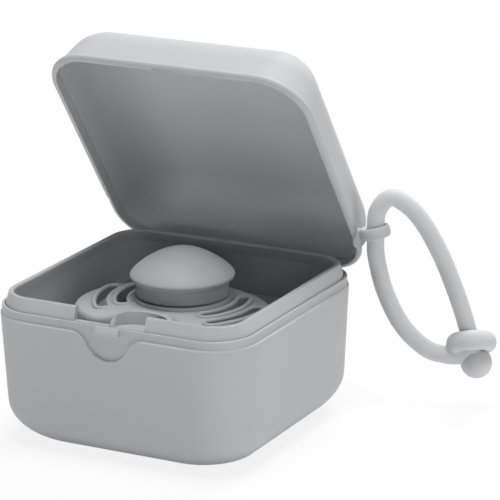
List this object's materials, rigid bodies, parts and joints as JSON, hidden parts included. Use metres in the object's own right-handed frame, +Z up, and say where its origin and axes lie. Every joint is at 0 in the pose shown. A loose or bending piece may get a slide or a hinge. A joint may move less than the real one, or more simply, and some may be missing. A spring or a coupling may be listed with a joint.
{
  "type": "pacifier case",
  "caption": "Rounded square travel case for a pacifier: hinged lid standing half open, snap-in tray with a finger pocket, a seated pacifier, and a clasped silicone strap in an eyelet.",
  "frame": {"origin": "middle of the base's flat underside", "axes": "+Z up, -Y towards the front with the thumb dip, +X to the right where the strap hangs"},
  "size_m": [0.0975, 0.0767, 0.0897],
  "materials": {
    "shell_plastic": "fine matt moulded grey polypropylene",
    "pin_plastic": "smooth moulded grey",
    "tray_plastic": "fine matt moulded grey polypropylene",
    "pacifier_plastic": "smooth matt moulded grey",
    "teat_silicone": "soft translucent grey silicone",
    "strap_silicone": "soft matt grey silicone"
  },
  "bodies": {
    "base": {"base_shell": "shell_plastic", "hinge_pin": "pin_plastic", "inner_tray": "tray_plastic"},
    "lid": {"lid_shell": "shell_plastic"},
    "strap": {"strap_upper_strand": "strap_silicone", "strap_lower_strand": "strap_silicone", "strap_ring": "strap_silicone", "strap_ball": "strap_silicone"},
    "pacifier": {"pacifier_shield": "pacifier_plastic", "pacifier_knob": "pacifier_plastic", "pacifier_teat": "teat_silicone"}
  },
  "joints": [
    {"name": "lid_hinge", "type": "hinge", "parent": "base", "child": "lid", "pos_m": [0, 0.03396, 0.02988], "axis": [-1, 0, 0], "range_deg": [-55.3, 55]},
    {"name": "strap_swing", "type": "hinge", "parent": "lid", "child": "strap", "pos_m": [0.03805, 0.02752, 0.04397], "axis": [0, 0, 1], "range_deg": [-40, 40]},
    {"name": "pacifier_lift", "type": "slide", "parent": "base", "child": "pacifier", "axis": [0, -0.4695, 0.8829], "range_m": [0, 0.062]}
  ]
}
